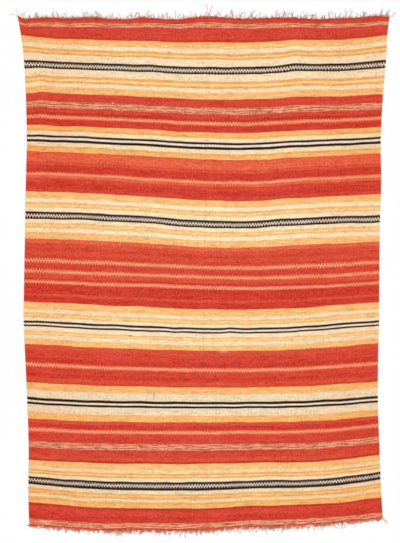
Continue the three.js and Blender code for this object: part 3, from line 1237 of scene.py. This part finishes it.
class EvenDraw:
    """The even random draw of the solids' fringe, so that both have the same strands."""

    step = 0x6D2B79F5
    mask = 0xFFFFFFFF

    def __init__(self, seed: int) -> None:
        """Starts at a seed and throws the first number away."""
        self.state = seed
        self.next()

    def next(self) -> float:
        """A number from 0 to 1: a 32-bit counter whose bits are mixed by two products."""
        self.state = (self.state + self.step) & self.mask
        mixed = self.state
        mixed = ((mixed ^ (mixed >> 15)) * (mixed | 1)) & self.mask
        mixed ^= (mixed + ((mixed ^ (mixed >> 7)) * (mixed | 61) & self.mask)) & self.mask
        return ((mixed ^ (mixed >> 14)) & self.mask) / 2**32


@dataclass
class Tubes:
    """Many thin tubes that are gathered into one mesh. Sizes are in millimetres."""

    lowest: float = 0.02
    points: list[Array] = field(default_factory=list)
    faces: list[Array] = field(default_factory=list)
    marks: list[Array] = field(default_factory=list)
    count: int = 0

    def add(
        self, lines: Array, radii: Array, sides: int, tint: Array,
        stain: Array, turn: Array | None = None, ply: float = 0.0,
    ) -> None:
        """Adds tubes round lines, closed at both ends.

        A ring's radius is radius * (1 + ply * cos(2 (angle - turn))), so that a yarn of two
        plies shows its twist.

        Args:
            lines: x, y and z by line and step.
            radii: radius by line and step.
            sides: corners of a ring.
            tint: number of each line's colour, 0 to 1.
            stain: how red it is, by line and step, 0 to 1.
            turn: turn of the ring by line and step, in radians.
            ply: how far the section departs from round.
        """

        def unit(vectors: Array) -> Array:
            """Vectors brought to length 1."""
            return vectors / (np.linalg.norm(vectors, axis=-1, keepdims=True) + 1e-12)

        def triangles(*corners: Array) -> Array:
            """Triangles from arrays of their corners' numbers."""
            return np.stack(np.broadcast_arrays(*corners), axis=-1).reshape(-1, 3)

        count, steps, _ = lines.shape
        along = unit(np.gradient(lines, axis=1))
        side = unit(np.cross(along, np.array([0.0, 0.0, 1.0])))
        up = np.cross(side, along)
        angle = np.arange(sides) / sides * 2 * np.pi
        wave = np.cos(2 * (angle - turn[..., None])) if turn is not None else 0.0
        wide = radii[..., None] * (1 + ply * wave)
        ring = (
            lines[:, :, None, :]
            + (wide * np.cos(angle))[..., None] * side[:, :, None, :]
            + (wide * np.sin(angle))[..., None] * up[:, :, None, :]
        )
        start = self.count + (np.arange(count) * steps * sides)[:, None, None]
        row = (np.arange(steps - 1) * sides)[None, :, None]
        corner = np.arange(sides)[None, None, :]
        near = start + row + corner
        beside = start + row + (corner + 1) % sides
        fan = np.arange(1, sides - 1)
        base = start[:, 0]
        tip = base + (steps - 1) * sides
        self.faces += [
            triangles(near, near + sides, beside + sides),
            triangles(near, beside + sides, beside),
            triangles(base, base + fan, base + fan + 1),
            triangles(tip, tip + fan + 1, tip + fan),
        ]
        marks = (np.arange(steps)[:, None], tint[:, None, None], stain[:, :, None])
        shape = ring.shape[:-1]
        marks = [np.broadcast_to(mark, shape).ravel() for mark in marks]
        self.marks.append(np.stack(marks, axis=-1))
        self.points.append(ring.reshape(-1, 3))
        self.count += count * steps * sides

    def build(self, name: str) -> Piece:
        """Makes the object, with the attribute yarn: step, tint and stain."""
        points = np.vstack(self.points)
        points[:, 2] = np.maximum(points[:, 2], self.lowest)
        piece = mesh_object(name, points * MM, np.vstack(self.faces))
        set_attribute(piece, "yarn", np.vstack(self.marks))
        return piece


@dataclass
class WarpEnds:
    """The twisted ends of the warps, by line: where they lie and how they look."""

    flat: Array
    reach: Array
    tint: Array
    red: Array


@dataclass(frozen=True)
class Fine:
    """A kind of fine line that leaves the warp ends, in millimetres and degrees.

    It leaves at one of a range of the yarn's steps. Its reach is for a warp end of middling
    reach. The taper is how thick it is at its root, and how much thinner at its tip.
    """

    per_end: int
    steps: tuple[int, int]
    reach: Pair
    spread: float
    radius: float
    root_spread: float = 0.25
    middling: float = 15.0
    reach_limits: Pair = (0.45, 1.3)
    curl_ratio: float = 1.6
    waver: float = 45.0
    line_steps: int = 5
    rest: float = 0.5
    hump: float = 1.5
    taper: Pair = (1.25, 0.75)
    thickness: Pair = (0.7, 1.2)
    tint_spread: float = 0.09


@dataclass(frozen=True)
class Fluff:
    """The tufts of fluff along an edge, in millimetres and degrees.

    Hairs of one tuft share its place, length, lean, redness and tint, but for a spread.
    """

    tufts: int
    reach: float
    radius: float
    red: float
    hairs: int
    ends: Pair = (0.003, 0.997)
    spread: float = 1.3
    inset: float = 1.4
    short: float = 0.45
    lengths: Pair = (0.5, 1.1)
    least: float = 1.0
    tuft_lean: float = 42.0
    hair_lean: float = 24.0
    curl: float = 85.0
    waver: float = 50.0
    steps: int = 3
    starts: Pair = (0.8, 2.1)
    rest: float = 0.5
    taper: Pair = (1.2, 0.7)
    thickness: Pair = (0.6, 1.2)
    reds: Pair = (0.75, 1.0)
    red_fade: float = 0.35
    tints: Pair = (0.1, 0.75)
    tint_spread: float = 0.05


@dataclass
class Fringe:
    """The warp ends at one end edge. Sizes are in millimetres and angles in degrees.

    Each strand of the solids stands for two warp ends. A warp end is a twisted yarn here that
    frays into a brush, with loose fibres along it. Fluff of the wefts stands on the edge.
    """

    name: str
    node: str
    outward: int
    locks: tuple[Lock, ...]
    seed: int
    shortest: float
    longest: float
    lean: float
    curl: float
    red_share: float
    red_reach: float
    stretch: Pair
    fluff: Fluff
    brush: Fine = Fine(4, (7, 9), (2.5, 7.0), 20.0, 0.27)
    fibres: Fine = Fine(6, (2, 8), (2.5, 9.0), 42.0, 0.13)
    strands: int = 125
    overhang: float = 2.2
    lean_waves: Pair = (37, 83)
    lock_stretch: Pair = (0.75, 1.03)
    inset: float = 2.0
    lean_spread: float = 24.0
    splay: float = 12.0
    curl_spread: float = 42.0
    waver: float = 46.0
    waver_turns: Pair = (0.6, 1.7)
    tint_spread: float = 0.07
    reds: Pair = (0.5, 1.0)
    red_start: float = 1.25
    side_margin: float = 0.001
    yarn_radius: float = 0.7
    tip_radius: float = 0.36
    thickness: Pair = (0.75, 1.2)
    yarn_sides: int = 6
    yarn_steps: int = 9
    edge_height: float = 1.1
    landing: float = 5.0
    rest: float = 1.1
    lift: float = 1.0
    twist_length: float = 3.2
    ply: float = 0.14

    def wavering(
        self, root: Array, reach: Array, lean: Array, curl: Array,
        steps: int, waver: float, rng: Random,
    ) -> tuple[Array, Array]:
        """Lines on the floor that set out at a lean, turn by a curl and waver on the way.

        The heading at share p is lean + curl * (p - 0.5) + waver * p * sin(2 pi (f p + q)),
        with a random f and q for each line, and the line is the running sum of its steps.

        Args:
            root: x and y of each line's start.
            reach: length of each line.
            lean: heading of each line, positive to the right.
            curl: turn of each line.
            steps: number of steps in a line.
            waver: size of the waver.
            rng: source of the random numbers.

        Returns:
            x and y by line and step, and each step's share of the line in one row.
        """
        count = len(reach)
        share = np.linspace(0, 1, steps + 1)[None, :]
        turns = rng.uniform(*self.waver_turns, (count, 1))
        phase = rng.uniform(0, 1, (count, 1))
        swing = waver * share * np.sin(2 * np.pi * (turns * share + phase))
        heading = np.radians(lean[:, None] + curl[:, None] * (share - 0.5) + swing)
        length = reach[:, None] / steps
        step_x = np.sin(heading) * length
        step_y = np.cos(heading) * length * self.outward
        x = root[:, :1] + np.cumsum(step_x, axis=1) - step_x
        y = root[:, 1:] + np.cumsum(step_y, axis=1) - step_y
        return np.stack([x, y], axis=-1), share

    def strand_table(self) -> Array:
        """Place across, reach, lean, curl and whether it is a lock, for each strand of the
        solids, a row each."""
        draw = EvenDraw(self.seed)
        locks = {min(self.strands - 1, int(lock.across * self.strands)): lock
                 for lock in reversed(self.locks)}
        slow, quick = self.lean_waves
        rows = []
        for strand in range(self.strands):
            across = (strand + 0.5) / self.strands
            chance = draw.next()
            grown = self.shortest + (self.longest - self.shortest) * chance * chance
            wander = math.sin(across * slow + self.seed) * math.cos(across * quick)
            lock = locks.get(strand)
            reach = lock.reach if lock else grown
            lean = lock.lean if lock else self.lean * wander
            curl = self.curl * (draw.next() - 0.5)
            rows.append((across, reach + self.overhang, lean, curl, lock is not None))
        return np.array(rows, float)

    def warp_ends(self, cloth: Cloth, offset: Array, rng: Random) -> WarpEnds:
        """Lays out two warp ends for each strand.

        Args:
            cloth: the cloth that they come out of.
            offset: what brings x and y into the frame, in millimetres.
            rng: source of the random numbers.

        Returns:
            The warp ends.
        """
        table = np.repeat(self.strand_table(), 2, axis=0)
        count = len(table)
        pair = np.where(np.arange(count) % 2 == 0, -0.5, 0.5)
        margin = self.side_margin
        across = np.clip(table[:, 0] + pair / cloth.warps, margin, 1 - margin)
        stretch = np.where(table[:, 4] > 0, rng.uniform(*self.lock_stretch, count),
                           rng.uniform(*self.stretch, count))
        reach = table[:, 1] * stretch + self.inset
        lean = table[:, 2] + rng.normal(0, self.lean_spread, count) - pair * self.splay
        curl = table[:, 3] + rng.normal(0, self.curl_spread, count)
        root = cloth.edge_places(across, self.outward, self.inset, offset)
        flat, _ = self.wavering(root, reach, lean, curl, self.yarn_steps, self.waver, rng)
        tint = np.repeat(rng.uniform(0, 1, self.strands), 2)
        tint = np.clip(tint + rng.normal(0, self.tint_spread, count), 0, 1)
        reddened = rng.uniform(0, 1, count) < self.red_share
        red = np.where(reddened, rng.uniform(*self.reds, count), 0)
        return WarpEnds(flat, reach, tint, red)

    def stains(self, red: Array, from_edge: Array) -> Array:
        """Redness by line and step: a line's own at the cloth, and less with the distance."""
        return red[:, None] * np.clip(self.red_start - from_edge / self.red_reach, 0, 1)

    def add_yarns(self, tubes: Tubes, ends: WarpEnds, rng: Random) -> None:
        """Adds the twisted yarns, which come down from the cloth on to the floor."""
        share = np.linspace(0, 1, self.yarn_steps + 1)[None, :]
        count = len(ends.reach)
        radius = self.yarn_radius * rng.uniform(*self.thickness, (count, 1))
        radii = radius + (self.tip_radius - radius) * share**2
        gone = share * ends.reach[:, None] - self.inset
        leaving = ease(gone / self.landing)
        hump = self.lift * rng.uniform(0, 1, (count, 1)) * np.sin(np.pi * share) ** 2
        height = self.edge_height * (1 - leaving) + (radii * self.rest + hump) * leaving
        turn = share * ends.reach[:, None] / self.twist_length * np.pi
        turn = turn + rng.uniform(0, np.pi, (count, 1))
        stain = self.stains(ends.red, gone)
        lines = raised(ends.flat, height)
        tubes.add(lines, radii, self.yarn_sides, ends.tint, stain, turn, self.ply)

    def add_fine(
        self, tubes: Tubes, ends: WarpEnds, kind: Fine, rng: Random
    ) -> None:
        """Adds fine lines of one kind, which leave the yarns.

        Args:
            tubes: what they are added to.
            ends: the warp ends.
            kind: their number, sizes and spreads.
            rng: source of the random numbers.
        """
        owner = np.repeat(np.arange(len(ends.reach)), kind.per_end)
        count = len(owner)
        step = rng.integers(kind.steps[0], kind.steps[1] + 1, count)
        before = ends.flat[owner, step - 1]
        root = ends.flat[owner, step] + rng.normal(0, kind.root_spread, (count, 2))
        forward = root - before
        heading = np.degrees(np.arctan2(forward[:, 0], forward[:, 1] * self.outward))
        own_reach = np.clip(ends.reach[owner] / kind.middling, *kind.reach_limits)
        length = rng.uniform(*kind.reach, count) * own_reach
        lean = heading + rng.normal(0, kind.spread, count)
        curl = rng.normal(0, kind.curl_ratio * kind.spread, count)
        flat, share = self.wavering(root, length, lean, curl, kind.line_steps, kind.waver, rng)
        height = kind.rest + rng.uniform(0, kind.hump, (count, 1)) * np.sin(np.pi * share)
        radii = kind.radius * (kind.taper[0] - kind.taper[1] * share)
        radii = radii * rng.uniform(*kind.thickness, (count, 1))
        tint = np.clip(ends.tint[owner] + rng.normal(0, kind.tint_spread, count), 0, 1)
        gone = step[:, None] / self.yarn_steps * ends.reach[owner][:, None] - self.inset
        stain = self.stains(ends.red[owner], gone + share * length[:, None])
        tubes.add(raised(flat, height), radii, 3, tint, stain)

    def add_fluff(
        self, tubes: Tubes, cloth: Cloth, offset: Array, rng: Random
    ) -> None:
        """Adds the fluff all along the edge, in tufts of one colour: red off the last wefts, or
        from brown to cream off the warps."""
        kind = self.fluff
        owner = np.repeat(np.arange(kind.tufts), kind.hairs)
        count = len(owner)
        width = float(RIGHT_EDGE([0.0])[0] - LEFT_EDGE([0.0])[0])
        across = rng.uniform(*kind.ends, kind.tufts)[owner]
        across = across + rng.normal(0, kind.spread, count) / width
        across = np.clip(across, self.side_margin, 1 - self.side_margin)
        root = cloth.edge_places(across, self.outward, kind.inset, offset)
        length = kind.reach * (kind.short + rng.uniform(0, 1, kind.tufts) ** 2)[owner]
        length = length * rng.uniform(*kind.lengths, count) + kind.least
        lean = rng.normal(0, kind.tuft_lean, kind.tufts)[owner]
        lean = lean + rng.normal(0, kind.hair_lean, count)
        curl = rng.normal(0, kind.curl, count)
        flat, share = self.wavering(root, length, lean, curl, kind.steps, kind.waver, rng)
        start = rng.uniform(*kind.starts, (count, 1))
        hump = kind.rest * np.sin(np.pi * share) * (1 - share)
        height = start * (1 - share) + kind.rest + hump
        radii = kind.radius * (kind.taper[0] - kind.taper[1] * share)
        radii = radii * rng.uniform(*kind.thickness, (count, 1))
        reds = (rng.uniform(0, 1, kind.tufts) < kind.red)[owner]
        stain = reds[:, None] * rng.uniform(*kind.reds, (count, 1)) * (1 - kind.red_fade * share)
        tint = rng.uniform(*kind.tints, kind.tufts)[owner]
        tint = tint + rng.normal(0, kind.tint_spread, count)
        tubes.add(raised(flat, height), radii, 3, np.clip(tint, 0, 1), stain)

    def build(self, cloth: Cloth, offset: Array) -> Piece:
        """Builds the yarns, their brushes and fibres, and the fluff as one mesh.

        Args:
            cloth: the cloth that they come out of.
            offset: what brings x and y into the frame, in millimetres.

        Returns:
            The fringe, with the attribute yarn.
        """
        rng = np.random.default_rng(self.seed)
        ends = self.warp_ends(cloth, offset, rng)
        tubes = Tubes()
        self.add_yarns(tubes, ends, rng)
        self.add_fine(tubes, ends, self.brush, rng)
        self.add_fine(tubes, ends, self.fibres, rng)
        self.add_fluff(tubes, cloth, offset, rng)
        return tubes.build(self.name)


@dataclass
class Studio:
    """Floor, light and camera. Sizes are in metres and angles in degrees."""

    camera_height: float = 7.0
    sensor: float = 36.0
    floor_half: float = 60.0
    floor_drop: float = 0.0003
    sun_strength: float = 1.55
    sun_angle: float = 28.0
    sun_elevation: float = 52.0
    sun_azimuth: float = 305.0
    sky_strength: float = 0.62
    farthest: float = 1000.0

    def floor(self) -> Piece:
        """A wide square just under the blanket."""
        half = self.floor_half
        corners = np.array([[-half, -half], [half, -half], [half, half], [-half, half]])
        points = np.column_stack([corners, np.full(4, -self.floor_drop)])
        made = mesh_object("floor", points, np.array([[0, 1, 2, 3]]))
        made.data.materials.append(PaleFloor().build())
        return made

    def light(self) -> None:
        """A soft distant key light from the upper left, and an even white surround."""
        data = bpy.data.lights.new("key", "SUN")
        data.energy = self.sun_strength
        data.angle = math.radians(self.sun_angle)
        key = bpy.data.objects.new("key", data)
        key.rotation_euler = (
            math.radians(90 - self.sun_elevation), 0.0, math.radians(self.sun_azimuth - 270)
        )
        bpy.context.scene.collection.objects.link(key)
        world = bpy.data.worlds.new("surround")
        world.use_nodes = True
        background = world.node_tree.nodes["Background"]
        background.inputs[0].default_value = (1.0, 1.0, 1.0, 1.0)
        background.inputs[1].default_value = self.sky_strength
        bpy.context.scene.world = world
        bpy.context.scene.view_settings.view_transform = "Standard"

    def camera(self, middle: Vector) -> None:
        """A long lens straight above the photograph's middle, with the top edge up."""
        data = bpy.data.cameras.new("camera")
        data.sensor_width = self.sensor
        seen = PHOTO_HEIGHT_PX * MM_PER_PX * MM
        data.lens = self.sensor * self.camera_height / seen
        data.clip_end = self.farthest
        made = bpy.data.objects.new("camera", data)
        made.location = (middle.x, middle.y, self.camera_height)
        bpy.context.scene.collection.objects.link(made)
        bpy.context.scene.camera = made


def report(piece: Piece) -> None:
    """Logs a piece's name, size and number of triangles."""
    piece.data.calc_loop_triangles()
    size = " x ".join(f"{side / MM:.1f}" for side in piece.dimensions)
    LOG.info("%s: %s mm, %d triangles", piece.name, size, len(piece.data.loop_triangles))


def main() -> None:
    """Builds the cloth, its two fringes and the studio, and hides the parts that they replace."""
    logging.basicConfig(level=logging.INFO, format="%(name)s: %(message)s", force=True)
    cloth = Cloth()
    own_low, own_high = cloth.outline_box()
    frame_low, frame_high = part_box("blanket")
    own_middle = (own_low + own_high) / 2
    frame_middle = np.array([frame_low.x + frame_high.x, frame_low.y + frame_high.y]) / 2 / MM
    offset = frame_middle - own_middle
    middle = Vector((offset[0] * MM, offset[1] * MM, 0.0))
    LOG.info("photograph's middle in the frame: %.2f, %.2f mm", *offset)

    studio = Studio()
    studio.camera(middle)
    studio.light()
    floor = studio.floor()

    effects = Effects.build()
    woven = WovenWool().build(effects, middle)
    warp = WarpWool().build(effects)

    piece = cloth.build(offset)
    piece.data.materials.append(woven)
    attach(piece, BODY)
    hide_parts("blanket")
    report(piece)

    top = Fringe(
        "fringe_top_yarns", "fringe_top", outward=1, locks=TOP_LOCKS, seed=11,
        shortest=5, longest=24, lean=20, curl=20, red_share=0.45, red_reach=11.0,
        stretch=(0.7, 1.15), fluff=Fluff(tufts=230, hairs=11, reach=5.5, radius=0.42, red=0.5),
    )
    bottom = Fringe(
        "fringe_bottom_yarns", "fringe_bottom", outward=-1, locks=BOTTOM_LOCKS, seed=29,
        shortest=3, longest=13, lean=26, curl=34, red_share=0.75, red_reach=15.0,
        stretch=(1.15, 1.8), fluff=Fluff(tufts=350, hairs=13, reach=11.5, radius=0.48, red=0.84),
        fibres=replace(Fringe.fibres, per_end=5),
    )
    for fringe in (top, bottom):
        yarns = fringe.build(cloth, offset)
        yarns.data.materials.append(warp)
        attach(yarns, BODY)
        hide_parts(fringe.node)
        report(yarns)

    cloth.flat_area() * MM * MM


if __name__ == "__main__":
    main()
